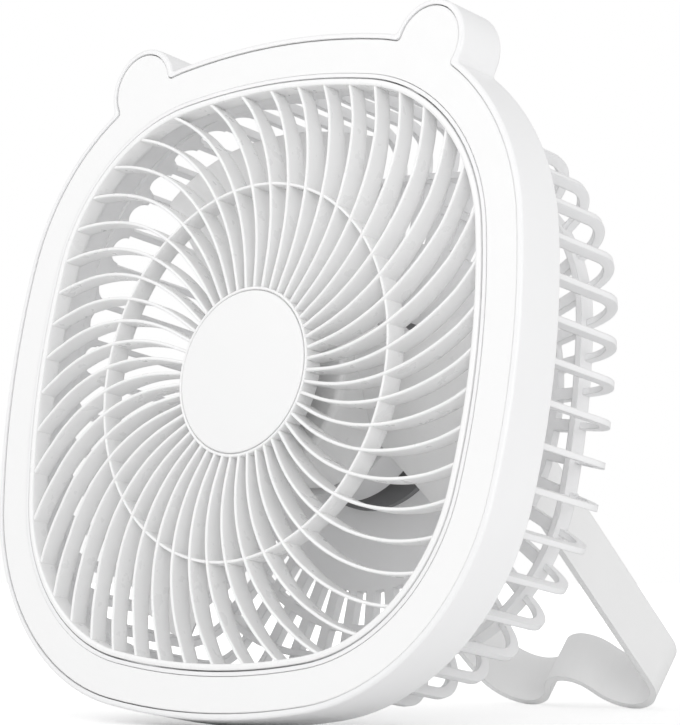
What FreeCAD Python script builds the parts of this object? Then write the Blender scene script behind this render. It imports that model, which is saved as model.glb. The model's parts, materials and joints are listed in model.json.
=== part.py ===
import FreeCAD, Part
import math
import os

# A portable camping fan: a square-round fan head with two ears, a light panel round a spiral grille,
# a ribbed cage at the back and a bent strap stand that turns on the rear housing.
#
# Every sub-part is first made in the fan's own frame: +X to the right seen from the front, +Y from the
# face into the fan and +Z up, with the centre of the face plane at zero. The last function leans the
# whole fan back and sets it down, so that the rear bottom edge of the frame and the stand's two feet
# touch the ground plane. All sizes are millimetres and degrees.

Vector = FreeCAD.Vector
os.makedirs("parts", exist_ok=True)
doc = FreeCAD.newDocument("camping_fan")
sheet = doc.addObject("Spreadsheet::Sheet", "sizes")

SIZES = {
    # Outline of the head: four side arcs and four corner arcs, all tangent.
    "head_half_width": 100.0,
    "head_half_height": 99.5,
    "head_centre_across": 27.5,
    "head_centre_up": 27.0,
    "head_corner": 70.3,
    "frame_depth": 17.0,
    "frame_wall": 2.0,
    "frame_edge_round": 0.9,
    "ear_across": 57.0,
    "ear_up": 91.0,
    "ear_radius": 12.9,
    "ear_blend": 1.5,
    # Face: light panel, its tray, the light board and the lamps on it.
    "panel_inset": 1.8,
    "panel_thickness": 1.8,
    "panel_set_back": 0.2,
    "opening_inset": 13.35,
    "opening_wall": 1.15,
    "tray_depth": 5.4,
    "tray_thickness": 1.5,
    "board_thickness": 1.2,
    "board_margin": 2.2,
    "lamp_count": 32.0,
    "lamp_length": 3.5,
    "lamp_width": 2.8,
    "lamp_height": 0.8,
    # Front grille.
    "seat_gap": 0.25,
    "rim_seam": 0.45,
    "grille_rim_width": 1.8,
    "grille_rim_front": 0.7,
    "grille_depth": 6.0,
    "grille_crown": 1.5,
    "grille_crown_radius": 52.0,
    "spiral_count": 48.0,
    "spiral_rib": 1.0,
    "spiral_start_radius": 30.8,
    "spiral_bend_radius": 59.7,
    "spiral_sweep": 78.0,
    "spiral_phase": 6.0,
    "middle_ring_radius": 55.3,
    "middle_ring_wall": 0.9,
    "middle_ring_set_back": 0.5,
    "hub_disc_radius": 25.0,
    "hub_disc_thickness": 2.4,
    "hub_disc_wall": 2.0,
    "hub_cap_radius": 24.0,
    "hub_cap_thickness": 1.0,
    # Impeller.
    "impeller_radius": 79.5,
    "impeller_hub_radius": 27.0,
    "impeller_front": 13.0,
    "impeller_length": 24.0,
    "impeller_wall": 1.8,
    "blade_count": 3.0,
    "blade_phase": 5.8,
    "blade_thickness": 1.6,
    "blade_spread": 50.0,
    "blade_sweep": 0.2,
    "blade_rise_root": 17.0,
    "blade_rise_tip": 21.0,
    "blade_camber": 0.09,
    "collar_radius": 4.0,
    # Motor.
    "shaft_radius": 1.5,
    "shaft_front": 12.4,
    "shaft_length": 25.6,
    "running_gap": 0.05,
    "can_radius": 15.0,
    "can_wall": 0.8,
    "can_length": 17.5,
    "magnet_thickness": 1.6,
    "magnet_length": 14.0,
    "stator_radius": 12.0,
    "stator_length": 12.0,
    "stator_teeth": 9.0,
    "bearing_radius": 4.0,
    "bearing_length": 3.0,
    "bearing_tube_wall": 1.1,
    "mount_flange_front": 35.5,
    "mount_flange_radius": 19.0,
    "mount_flange_thickness": 2.4,
    "mount_column_wall": 2.0,
    "mount_drum_front": 38.6,
    "mount_drum_length": 12.0,
    "mount_drum_radius": 28.5,
    "mount_base_radius": 29.2,
    "mount_screw_circle": 25.0,
    "lead_way_radius": 2.2,
    # Rear cage: its own outline, less square than the head's.
    "cage_half_width": 90.1,
    "cage_half_height": 89.4,
    "cage_centre_across": 20.5,
    "cage_centre_up": 19.9,
    "cage_corner": 68.6,
    "cage_depth": 65.0,
    "cage_edge_radius": 13.0,
    "cage_rib_depth": 3.2,
    "cage_rib_width": 1.8,
    "cage_rib_count": 48.0,
    "cage_rib_phase": 3.15,
    "cage_slot_front": 17.4,
    "cage_slot_radius": 4.3,
    "cage_flange_thickness": 2.4,
    "cage_band_inset": 15.0,
    "cage_band_wall": 2.0,
    "cage_band_length": 5.6,
    "back_plate_thickness": 3.0,
    "back_plate_radius": 53.5,
    "back_rib_width": 3.4,
    "back_ring_inner": 63.5,
    "back_ring_outer": 66.0,
    "cage_screw_count": 4.0,
    "cage_screw_inset": 8.2,
    "boss_radius": 2.4,
    # Rear housing and what it holds.
    "housing_radius": 36.0,
    "housing_depth": 22.0,
    "housing_wall": 2.0,
    "housing_edge_round": 2.5,
    "housing_seat": 0.05,
    "battery_width": 46.0,
    "battery_height": 30.0,
    "battery_depth": 10.0,
    "cradle_wall": 1.2,
    "main_board_set_back": 15.2,
    "main_board_radius": 29.0,
    "main_board_cut": 22.0,
    "button_radius": 4.5,
    "button_spacing": 11.0,
    "button_up": 8.0,
    "button_travel": 0.8,
    "button_proud": 1.4,
    "button_gap": 0.3,
    "indicator_radius": 1.2,
    "socket_width": 9.0,
    "socket_height": 3.3,
    "socket_depth": 7.4,
    # Stand.
    "lean_back": 9.5,
    "stand_drop": 30.6,
    "pivot_depth": 75.0,
    "pivot_up": -4.0,
    "strap_width": 18.0,
    "strap_thickness": 2.2,
    "strap_half_span": 37.0,
    "strap_straight": 14.0,
    "foot_half_span": 21.0,
    "foot_bend_radius": 13.0,
    "hump_bend_radius": 10.0,
    "hump_height": 13.3,
    "pivot_boss_radius": 7.5,
    "washer_thickness": 0.5,
    "pivot_screw_radius": 2.0,
    "pivot_head_radius": 4.2,
    "pivot_head_height": 1.8,
    # Small screws.
    "screw_radius": 1.2,
    "screw_head_radius": 2.2,
    "screw_head_height": 1.4,
}

for row, (name, value) in enumerate(SIZES.items(), start=1):
    sheet.set(f"A{row}", name)
    sheet.set(f"B{row}", str(value))
    sheet.setAlias(f"B{row}", name)
doc.recompute()

PIECES = []


def size(name):
    """The value that the sheet holds under this name."""
    return float(sheet.get(name))


def keep(piece, label, local=None):
    """Names a finished sub-part and remembers its place in the fan's own frame."""
    piece.Label = label
    PIECES.append((piece, local or FreeCAD.Placement()))
    return piece


def shaped(label, shape):
    """A sub-part whose shape is worked out from the sheet in this source."""
    piece = doc.addObject("Part::Feature", label)
    piece.Shape = shape
    return keep(piece, label, piece.Placement)


def along_depth(x=0.0, y=0.0, z=0.0):
    """A placement that turns an upright primitive so that its height runs into the fan."""
    return FreeCAD.Placement(Vector(x, y, z), FreeCAD.Rotation(Vector(1, 0, 0), -90))


def rod(radius, start, length, x=0.0, z=0.0):
    """A plain cylinder along the depth, for use inside booleans."""
    return Part.makeCylinder(radius, length, Vector(x, start, z), Vector(0, 1, 0))


def tube(outer, inner, start, length, x=0.0, z=0.0):
    """A plain tube along the depth, for use inside booleans."""
    return rod(outer, start, length, x, z).cut(rod(inner, start - 1.0, length + 2.0, x, z))


def bound_cylinder(name, radius, height):
    """A cylinder primitive whose radius and height follow expressions of the sheet."""
    piece = doc.addObject("Part::Cylinder", name)
    piece.setExpression("Radius", radius)
    piece.setExpression("Height", height)
    return piece


def bound_tube(label, outer, inner, height, start):
    """A tube along the depth made of two bound cylinders and a cut."""
    body = bound_cylinder(label + "_body", outer, height)
    bore = bound_cylinder(label + "_bore", inner, height + " + 2")
    bore.Placement.Base = Vector(0, 0, -1)
    piece = doc.addObject("Part::Cut", label)
    piece.Base = body
    piece.Tool = bore
    return keep(piece, label, along_depth(y=start))


# Outline of the head


def side_arc_radius(near, far, corner):
    """Radius of a side arc from its rise over the corner centre and that centre's distance."""
    return (near * near + far * far - corner * corner) / (2.0 * (near - corner))


def outline_wire(offset, depth, form="head"):
    """The head's or the cage's outline moved outwards by offset: eight tangent arcs."""
    cx = size(form + "_centre_across")
    cz = size(form + "_centre_up")
    half_x = size(form + "_half_width")
    half_z = size(form + "_half_height")
    plain_corner = size(form + "_corner")
    side = side_arc_radius(half_x - cx, cz, plain_corner)
    top = side_arc_radius(half_z - cz, cx, plain_corner)
    side_turn = math.atan2(cz, side - half_x + cx)
    top_turn = math.atan2(cx, top - half_z + cz)
    corner = plain_corner + offset
    edges = []
    for quarter, (sx, sz) in enumerate(((1, 1), (-1, 1), (-1, -1), (1, -1))):
        middle = math.pi / 4
        turns = (side_turn, middle, math.pi / 2 - top_turn)
        points = [
            Vector(sx * (cx + corner * math.cos(a)), depth, sz * (cz + corner * math.sin(a)))
            for a in turns
        ]
        edges.append(Part.Arc(*points).toShape())
        if quarter in (0, 1):
            reach = sx * (half_x + offset)
            other = Vector(points[0].x, depth, -points[0].z)
            edges.append(Part.Arc(points[0], Vector(reach, depth, 0), other).toShape())
        if quarter in (0, 2):
            rise = sz * (half_z + offset)
            across = Vector(-points[2].x, depth, points[2].z)
            edges.append(Part.Arc(points[2], Vector(0, depth, rise), across).toShape())
    return Part.Wire(Part.__sortEdges__(edges))


def outline_prism(offset, start, length, form="head"):
    """A solid of the outline, with no ears."""
    return Part.Face(outline_wire(offset, start, form)).extrude(Vector(0, length, 0))


def eared_prism(offset, start, length):
    """A solid of the outline with its two ears, blended at their roots."""
    solid = outline_prism(offset, start, length)
    ears = []
    for side in (-1, 1):
        radius = size("ear_radius") + offset
        ears.append(rod(radius, start, length, side * size("ear_across"), size("ear_up")))
    solid = solid.fuse(ears).removeSplitter()
    roots = []
    for edge in solid.Edges:
        ends = [v.Point for v in edge.Vertexes]
        if len(ends) != 2 or abs(ends[0].y - ends[1].y) < length * 0.9:
            continue
        near_ear = abs(abs(ends[0].x) - size("ear_across")) < size("ear_radius") * 1.3
        if near_ear and ends[0].z > size("ear_up") - size("ear_radius"):
            reach = math.hypot(abs(ends[0].x) - size("ear_across"), ends[0].z - size("ear_up"))
            if abs(reach - size("ear_radius") - offset) < 0.01:
                roots.append(edge)
    return solid.makeFillet(size("ear_blend"), roots)


def face_edges(solid, depth):
    """The edges of a solid that lie in one plane across the depth."""
    found = []
    for edge in solid.Edges:
        box = edge.BoundBox
        if abs(box.YMin - depth) < 0.001 and abs(box.YMax - depth) < 0.001:
            found.append(edge)
    return found


# Frame and light panel


def make_front_bezel():
    """Side wall with ears, tray behind the light panel and the wall round the opening."""
    depth = size("frame_depth")
    wall = size("frame_wall")
    shell = eared_prism(0.0, 0.0, depth)
    shell = shell.makeFillet(size("frame_edge_round"), face_edges(shell, 0.0) + face_edges(shell, depth))
    tray = size("tray_depth")
    tray_back = tray + size("tray_thickness")
    lip = size("panel_inset") - size("seat_gap") / 2
    front_room = eared_prism(-lip, -1.0, tray + 1.0)
    back_room = eared_prism(-wall, tray_back, depth)
    opening = outline_prism(-size("opening_inset"), -2.0, depth + 4.0)
    shell = shell.cut([front_room, back_room])
    stop = depth - size("cage_flange_thickness")
    inner_wall = outline_prism(-size("opening_inset") + size("opening_wall"), 0.0, stop)
    shell = shell.fuse(inner_wall).cut(opening)
    bosses = []
    for x, z in cage_screw_places():
        start = tray_back - 0.2
        bosses.append(tube(size("boss_radius"), size("screw_radius"), start, stop - start, x, z))
    shell = shell.fuse(bosses).removeSplitter()
    return shaped("front_bezel", shell)


def cage_screw_places():
    """Where the cage's screws stand: on the diagonals, between the two walls of the frame."""
    count = int(size("cage_screw_count"))
    reach = size("head_corner") - size("cage_screw_inset")
    places = []
    for index in range(count):
        angle = math.radians(45.0 + 360.0 * index / count)
        cx = math.copysign(size("head_centre_across"), math.cos(angle))
        cz = math.copysign(size("head_centre_up"), math.sin(angle))
        places.append((cx + reach * math.cos(angle), cz + reach * math.sin(angle)))
    return places


def make_light_diffuser():
    """The opal panel round the opening, with the same two ears."""
    start = size("panel_set_back")
    inner = size("opening_inset") - size("opening_wall") - size("seat_gap") / 2
    panel = eared_prism(-size("panel_inset") - size("seat_gap") / 2, start, size("panel_thickness"))
    panel = panel.makeFillet(size("panel_thickness") * 0.25, face_edges(panel, start))
    panel = panel.cut(outline_prism(-inner, start - 1.0, size("panel_thickness") + 2.0))
    return shaped("light_diffuser", panel)


def make_led_board():
    """A narrow ring board that lies on the tray."""
    thickness = size("board_thickness")
    start = size("tray_depth") - thickness
    outer = -size("panel_inset") - size("board_margin")
    inner = -size("opening_inset") + size("opening_wall") + size("seat_gap")
    board = outline_prism(outer, start, thickness).cut(outline_prism(inner, start - 1, thickness + 2))
    return shaped("led_board", board)


def outline_radius(angle, offset):
    """Distance from the centre to the outline along an angle, found on the outline itself."""
    ray = Part.makeLine(Vector(0, 0, 0), Vector(300 * math.cos(angle), 0, 300 * math.sin(angle)))
    near = outline_wire(offset, 0.0).distToShape(ray)[1][0][0]
    return math.hypot(near.x, near.z)


def make_led_chips():
    """The lamps on the board, evenly turned round the opening."""
    count = int(size("lamp_count"))
    middle = (size("opening_inset") - size("opening_wall") + size("panel_inset") + size("board_margin")) / 2
    length = size("lamp_length")
    width = size("lamp_width")
    height = size("lamp_height")
    start = size("tray_depth") - size("board_thickness") - height
    chips = []
    for index in range(count):
        angle = 2 * math.pi * (index + 0.5) / count
        radius = outline_radius(angle, -middle)
        chip = Part.makeBox(width, height, length, Vector(radius - width / 2, start, -length / 2))
        chip.rotate(Vector(0, 0, 0), Vector(0, 1, 0), -math.degrees(angle))
        chips.append(chip)
    return shaped("led_chips", Part.makeCompound(chips))


# Front grille


def crown_solid():
    """The space that the grille fills: a soft crown in front, flat behind."""
    near = size("hub_disc_radius")
    middle = size("grille_crown_radius")
    edge = 2 * middle - near
    far = edge + 30.0
    depth = size("grille_depth")
    crown = Part.Arc(Vector(near, 0, 0), Vector(middle, -size("grille_crown"), 0), Vector(edge, 0, 0))
    corners = [
        Vector(edge, 0, 0), Vector(far, 0, 0), Vector(far, depth, 0),
        Vector(0, depth, 0), Vector(0, 0, 0), Vector(near, 0, 0),
    ]
    face = Part.Face(Part.Wire([crown.toShape()] + Part.makePolygon(corners).Edges))
    return face.revolve(Vector(0, 0, 0), Vector(0, 1, 0), 360)


def spiral_rib_face(depth):
    """One rib seen from the front: straight out of the hub, then bending the same way all along."""
    half = size("spiral_rib") / 2
    start = size("spiral_start_radius")
    bend = size("spiral_bend_radius")
    inner = size("hub_disc_radius") - 1.0
    sweep = math.radians(size("spiral_sweep"))
    centre = Vector(start, depth, bend)
    sides = []
    for reach in (bend + half, bend - half):
        first = centre + Vector(0, 0, -reach)
        middle = centre + Vector(reach * math.sin(sweep / 2), 0, -reach * math.cos(sweep / 2))
        last = centre + Vector(reach * math.sin(sweep), 0, -reach * math.cos(sweep))
        sides.append((first, middle, last))
    low, high = sides
    edges = [
        Part.makeLine(Vector(inner, depth, -half), low[0]),
        Part.Arc(*low).toShape(),
        Part.makeLine(low[2], high[2]),
        Part.Arc(high[2], high[1], high[0]).toShape(),
        Part.makeLine(high[0], Vector(inner, depth, half)),
        Part.makeLine(Vector(inner, depth, half), Vector(inner, depth, -half)),
    ]
    return Part.Face(Part.Wire(edges))


def make_front_grille():
    """Rim, spiral ribs, middle ring and hub disc in one moulding."""
    depth = size("grille_depth")
    crown = size("grille_crown")
    outer = -size("opening_inset") - size("rim_seam")
    crowned = crown_solid()
    room = crowned.common(outline_prism(outer - 1.0, -3.0, depth + 6.0))
    rib = spiral_rib_face(-crown - 1.0).extrude(Vector(0, depth + crown + 2.0, 0))
    ribs = []
    count = int(size("spiral_count"))
    for index in range(count):
        turned = rib.copy()
        angle = size("spiral_phase") + 360.0 * index / count
        turned.rotate(Vector(0, 0, 0), Vector(0, 1, 0), -angle)
        ribs.append(turned.common(room))
    ring = tube(
        size("middle_ring_radius") + size("middle_ring_wall") / 2,
        size("middle_ring_radius") - size("middle_ring_wall") / 2,
        -crown,
        depth + crown,
    )
    crowned.translate(Vector(0, size("middle_ring_set_back"), 0))
    rim = outline_prism(outer, -size("grille_rim_front"), depth + size("grille_rim_front"))
    rim = rim.makeFillet(size("grille_rim_width") * 0.3, face_edges(rim, -size("grille_rim_front")))
    rim = rim.cut(outline_prism(outer - size("grille_rim_width"), -3.0, depth + 6.0))
    disc = rod(size("hub_disc_radius"), 0.0, depth)
    recess = rod(size("hub_disc_radius") - size("hub_disc_wall"), size("hub_disc_thickness"), depth)
    seat = rod(size("hub_cap_radius") + size("running_gap"), -1.0, 1.0 + size("hub_cap_thickness") * 0.5)
    disc = disc.cut([recess, seat])
    grille = rim.fuse(ribs + [ring.common(crowned), disc]).removeSplitter()
    return shaped("front_grille", grille)


def make_hub_cap():
    """The plain disc set in the middle of the grille."""
    thickness = size("hub_cap_thickness")
    cap = rod(size("hub_cap_radius"), -thickness * 0.5, thickness)
    cap = cap.makeFillet(thickness * 0.4, face_edges(cap, -thickness * 0.5))
    return shaped("grille_hub_cap", cap)


# Impeller


def blade_section(radius):
    """A thin cambered section across one blade at this distance from the shaft."""
    past_hub = radius - size("impeller_hub_radius")
    share = past_hub / (size("impeller_radius") - size("impeller_hub_radius"))
    rise = size("blade_rise_root") + share * (size("blade_rise_tip") - size("blade_rise_root"))
    half = radius * math.tan(math.radians(size("blade_spread") / 2))
    swept = -size("blade_sweep") * past_hub
    middle = size("impeller_front") + size("impeller_length") / 2
    thick = size("blade_thickness")
    bow = size("blade_camber") * 2 * half
    near = Vector(radius, middle + rise / 2, swept - half)
    far = Vector(radius, middle - rise / 2, swept + half)
    front = Vector(radius, middle - bow, swept)
    back = Vector(radius, middle - bow + thick, swept)
    step = Vector(0, thick * 0.45, 0)
    return Part.Wire([
        Part.Arc(near, front, far).toShape(),
        Part.makeLine(far, far + step),
        Part.Arc(far + step, back, near + step).toShape(),
        Part.makeLine(near + step, near),
    ])


def make_impeller():
    """Cup hub with a shaft collar and wide swept blades."""
    start = size("impeller_front")
    length = size("impeller_length")
    hub_radius = size("impeller_hub_radius")
    wall = size("impeller_wall")
    limit = size("impeller_radius")
    root = hub_radius - wall * 0.6
    steps = 4
    radii = [root + (limit - root) * index / steps for index in range(steps + 1)]
    radii[-1] = limit + 1.0
    blade = Part.makeLoft([blade_section(r) for r in radii], True, False)
    room = tube(limit, hub_radius - wall * 0.5, start, length)
    blade = blade.common(room)
    blades = []
    count = int(size("blade_count"))
    for index in range(count):
        turned = blade.copy()
        turned.rotate(Vector(0, 0, 0), Vector(0, 1, 0), 360.0 * index / count + size("blade_phase"))
        blades.append(turned)
    hub = rod(hub_radius, start, length)
    hub = hub.makeFillet(wall * 1.2, face_edges(hub, start))
    hub = hub.cut(rod(hub_radius - wall, start + wall, length))
    collar = rod(size("collar_radius"), start, wall + 0.2)
    hub = hub.fuse([collar] + blades)
    hub = hub.cut(rod(size("shaft_radius"), start - 2.0, length)).removeSplitter()
    return shaped("impeller", hub)


# Motor


def make_motor():
    """Shaft, rotor can, magnets, stator and bearings, all on the fan's axis."""
    hub_back = size("impeller_front") + size("impeller_wall") + 0.2
    gap = size("running_gap")
    shaft = bound_cylinder("motor_shaft", "sizes.shaft_radius - sizes.running_gap / 2", "sizes.shaft_length")
    keep(shaft, "motor_shaft", along_depth(y=size("shaft_front")))
    can = rod(size("can_radius"), hub_back, size("can_length"))
    room = rod(size("can_radius") - size("can_wall"), hub_back + size("can_wall"), size("can_length"))
    can = can.cut([room, rod(size("shaft_radius"), hub_back - 1, 10.0)])
    vents = []
    for index in range(4):
        angle = math.radians(45 + 90 * index)
        reach = size("can_radius") * 0.6
        vents.append(rod(1.6, hub_back - 1, 4.0, reach * math.cos(angle), reach * math.sin(angle)))
    shaped("rotor_can", can.cut(vents))
    magnet_start = hub_back + size("can_wall") + gap
    bound_tube(
        "rotor_magnets",
        "sizes.can_radius - sizes.can_wall - sizes.running_gap",
        "sizes.can_radius - sizes.can_wall - sizes.magnet_thickness",
        "sizes.magnet_length",
        magnet_start,
    )
    stator_start = magnet_start + (size("magnet_length") - size("stator_length")) / 2
    tube_radius = size("bearing_radius") + size("bearing_tube_wall")
    stator = rod(size("stator_radius"), stator_start, size("stator_length"))
    slots = []
    teeth = int(size("stator_teeth"))
    slot_width = size("stator_radius") * 0.3
    for index in range(teeth):
        slot = Part.makeBox(
            size("stator_radius"), size("stator_length") + 2, slot_width,
            Vector(tube_radius + 2.2, stator_start - 1, -slot_width / 2),
        )
        slot.rotate(Vector(0, 0, 0), Vector(0, 1, 0), 360.0 * index / teeth)
        slots.append(slot)
    stator = stator.cut(slots + [rod(tube_radius + gap, stator_start - 1, size("stator_length") + 2)])
    shaped("motor_stator", stator)
    for label, start in bearing_starts().items():
        bound_tube(
            label,
            "sizes.bearing_radius - sizes.running_gap",
            "sizes.shaft_radius + sizes.running_gap / 2",
            "sizes.bearing_length",
            start,
        )


def bearing_starts():
    """Depth at which each bearing begins, at the two ends of the bearing tube."""
    front = size("impeller_front") + size("impeller_wall") + size("can_wall") + 1.6
    rear = size("shaft_front") + size("shaft_length") - size("bearing_length") - 1.0
    return {"front_bearing": front, "rear_bearing": rear}


def make_motor_mount():
    """Bearing tube, flange, drum behind the impeller and column that stand on the back plate."""
    tube_outer = size("bearing_radius") + size("bearing_tube_wall")
    tube_start = bearing_starts()["front_bearing"] - 0.4
    flange = size("mount_flange_front")
    flange_radius = size("mount_flange_radius")
    wall = size("mount_column_wall")
    plate = size("cage_depth") - size("back_plate_thickness")
    end = flange + size("mount_flange_thickness")
    drum = size("mount_drum_front")
    drum_radius = size("mount_drum_radius")
    body = rod(tube_outer, tube_start, flange - tube_start + 0.1)
    body = body.fuse([
        rod(flange_radius, flange, size("mount_flange_thickness")),
        tube(flange_radius, flange_radius - wall, flange, plate - flange),
        tube(drum_radius, flange_radius - wall, drum, wall),
        tube(drum_radius, drum_radius - wall, drum, size("mount_drum_length")),
        tube(size("mount_base_radius"), flange_radius - wall, plate - wall, wall),
    ])
    bore = rod(size("bearing_radius"), tube_start - 1.0, end - tube_start + 2.0)
    holes = [rod(size("screw_radius") + 0.15, plate - 8.0, 12.0, x, z) for x, z in mount_screw_places()]
    driver = size("screw_head_radius") + size("seat_gap")
    holes += [rod(driver, drum - 1.0, wall + 2.0, x, z) for x, z in mount_screw_places()]
    reach = (tube_outer + flange_radius - wall) / 2
    lead_way = rod(size("lead_way_radius"), flange - 1, size("mount_flange_thickness") + 2, 0.0, -reach)
    body = body.cut([bore, lead_way] + holes).removeSplitter()
    return shaped("motor_mount", body)


def mount_screw_places():
    """Three screws round the motor mount's base."""
    reach = size("mount_screw_circle")
    angles = [math.radians(90 + 120 * index) for index in range(3)]
    return [(reach * math.cos(a), reach * math.sin(a)) for a in angles]


# Rear cage


def spokes(width, start, length):
    """Radial walls from the centre outwards, one for each rib of the cage."""
    count = int(size("cage_rib_count"))
    blades = []
    for index in range(count):
        blade = Part.makeBox(130.0, length, width, Vector(30.0, start, -width / 2))
        blade.rotate(Vector(0, 0, 0), Vector(0, 1, 0), -size("cage_rib_phase") - 360.0 * index / count)
        blades.append(blade)
    return blades


def slot_ends(depth):
    """Rods from the centre outwards that round the front end of every slot between two ribs."""
    count = int(size("cage_rib_count"))
    rods = []
    for index in range(count):
        angle = math.radians(size("cage_rib_phase") + 360.0 * (index + 0.5) / count)
        outwards = Vector(math.cos(angle), 0, math.sin(angle))
        rods.append(Part.makeCylinder(size("cage_slot_radius"), 80.0, Vector(0, depth, 0) + outwards * 50.0, outwards))
    return rods


def make_rear_cage():
    """Flange, ribs that turn the rear corner, band, slotted back plate."""
    depth = size("cage_depth")
    flange_front = size("frame_depth") - size("cage_flange_thickness")
    rib = size("cage_rib_depth")
    corner = size("cage_edge_radius")
    outer = outline_prism(0.0, flange_front, depth - flange_front, "cage")
    outer = outer.makeFillet(corner, face_edges(outer, depth))
    inner = outline_prism(-rib, flange_front - 1.0, depth - rib - flange_front + 1.0, "cage")
    inner = inner.makeFillet(corner - rib, face_edges(inner, depth - rib))
    band_inset = size("cage_band_inset")
    band_outer = outline_prism(-band_inset, -5.0, depth + 10.0, "cage")
    shell = outer.cut([inner, band_outer])
    ribs = [blade.common(shell) for blade in spokes(size("cage_rib_width"), flange_front, depth)]
    slot_end = size("cage_slot_front") + size("cage_slot_radius")
    roots = outline_prism(0.0, flange_front, slot_end - flange_front, "cage")
    roots = roots.cut([inner] + slot_ends(slot_end))
    plate = size("back_plate_thickness")
    back = outline_prism(-band_inset - 0.5, depth - plate, plate, "cage")
    back_bars = Part.makeCompound(spokes(size("back_rib_width"), depth - plate, plate)).common(back)
    band_length = size("cage_band_length")
    band = outline_prism(-band_inset, depth - band_length, band_length, "cage")
    band = band.cut(outline_prism(-band_inset - size("cage_band_wall"), 0.0, depth + 5.0, "cage"))
    flange = eared_prism(-size("frame_wall") - size("seat_gap"), flange_front, size("cage_flange_thickness"))
    flange = flange.cut(outline_prism(-size("opening_inset"), 0.0, depth))
    disc = rod(size("back_plate_radius"), depth - plate, plate)
    ring = tube(size("back_ring_outer"), size("back_ring_inner"), depth - plate, plate)
    cage = flange.fuse(ribs + roots.Solids + back_bars.Solids + [band, disc, ring])
    holes = [rod(size("screw_radius") + 0.15, 0.0, depth - 10.0, x, z) for x, z in cage_screw_places()]
    holes += [rod(size("screw_radius"), depth - 10.0, 20.0, x, z) for x, z in mount_screw_places()]
    holes += [rod(size("screw_radius"), depth - 10.0, 20.0, x, z) for x, z in housing_screw_places()]
    holes.append(rod(3.0, depth - 10.0, 20.0, 0.0, -12.0))
    cage = cage.cut(holes).removeSplitter()
    return shaped("rear_cage", cage)


# Rear housing


def housing_screw_places():
    """Three screws inside the rear housing's rim."""
    reach = size("housing_radius") - size("housing_wall") - size("boss_radius") + 0.4
    angles = [math.radians(90 + 120 * index) for index in range(3)]
    return [(reach * math.cos(a), reach * math.sin(a)) for a in angles]


def button_places():
    """Name and centre of each button on the housing's back."""
    step = size("button_spacing")
    return {"speed_button": (-step, size("button_up")), "light_button": (step, size("button_up"))}


def make_rear_housing():
    """The drum at the back, with pivot bosses at both sides."""
    start = size("cage_depth") + size("housing_seat")
    depth = size("housing_depth")
    radius = size("housing_radius")
    wall = size("housing_wall")
    drum = rod(radius, start, depth)
    drum = drum.makeFillet(size("housing_edge_round"), face_edges(drum, start + depth))
    boss_end = size("strap_half_span") - size("washer_thickness") - 0.1
    boss_axis = Vector(1, 0, 0)
    boss = Part.makeCylinder(
        size("pivot_boss_radius"), 2 * boss_end,
        Vector(-boss_end, size("pivot_depth"), size("pivot_up")), boss_axis,
    )
    drum = drum.fuse(boss)
    inner_half = boss_end - size("housing_wall") - 5.0
    room = rod(radius - wall, start - 1.0, depth - wall + 1.0)
    room = room.common(Part.makeBox(2 * inner_half, 60.0, 120.0, Vector(-inner_half, start - 5.0, -60.0)).fuse(
        rod(radius - wall, start - 1.0, depth).cut(Part.makeBox(
            120.0, 60.0, 2 * size("pivot_boss_radius") + 2.0,
            Vector(-60.0, start - 5.0, size("pivot_up") - size("pivot_boss_radius") - 1.0)))))
    drum = drum.cut(room)
    screws = []
    for x, z in housing_screw_places():
        screws.append(tube(size("boss_radius"), size("screw_radius"), start, depth - wall, x, z))
    drum = drum.fuse(screws)
    cuts = [Part.makeCylinder(
        size("pivot_screw_radius"), 4 * boss_end,
        Vector(-2 * boss_end, size("pivot_depth"), size("pivot_up")), boss_axis,
    )]
    for x, z in button_places().values():
        cuts.append(rod(size("button_radius") + size("button_gap"), start + depth - 6.0, 10.0, x, z))
    cuts.append(rod(size("indicator_radius") + 0.05, start + depth - 6.0, 10.0, 0.0, size("button_up") + 9.0))
    cuts.append(socket_block(0.15, -radius - 3.0))
    drum = drum.cut(cuts).removeSplitter()
    return shaped("rear_housing", drum)


def socket_block(grow, low):
    """A rounded slot shape for the charging socket, from a low level up to the socket's back."""
    width = size("socket_width") + 2 * grow
    height = size("socket_height") + 2 * grow
    board = main_board_start()
    top = -size("main_board_cut") + 0.4
    block = Part.makeBox(
        width, height, top - low, Vector(-width / 2, board - 0.05 - size("socket_height") - grow, low)
    )
    upright = [e for e in block.Edges if abs(e.Vertexes[0].Z - e.Vertexes[1].Z) > 0.5]
    return block.makeFillet(height * 0.45, upright)


def main_board_start():
    """Depth of the main board's front face."""
    return size("cage_depth") + size("main_board_set_back")


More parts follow.
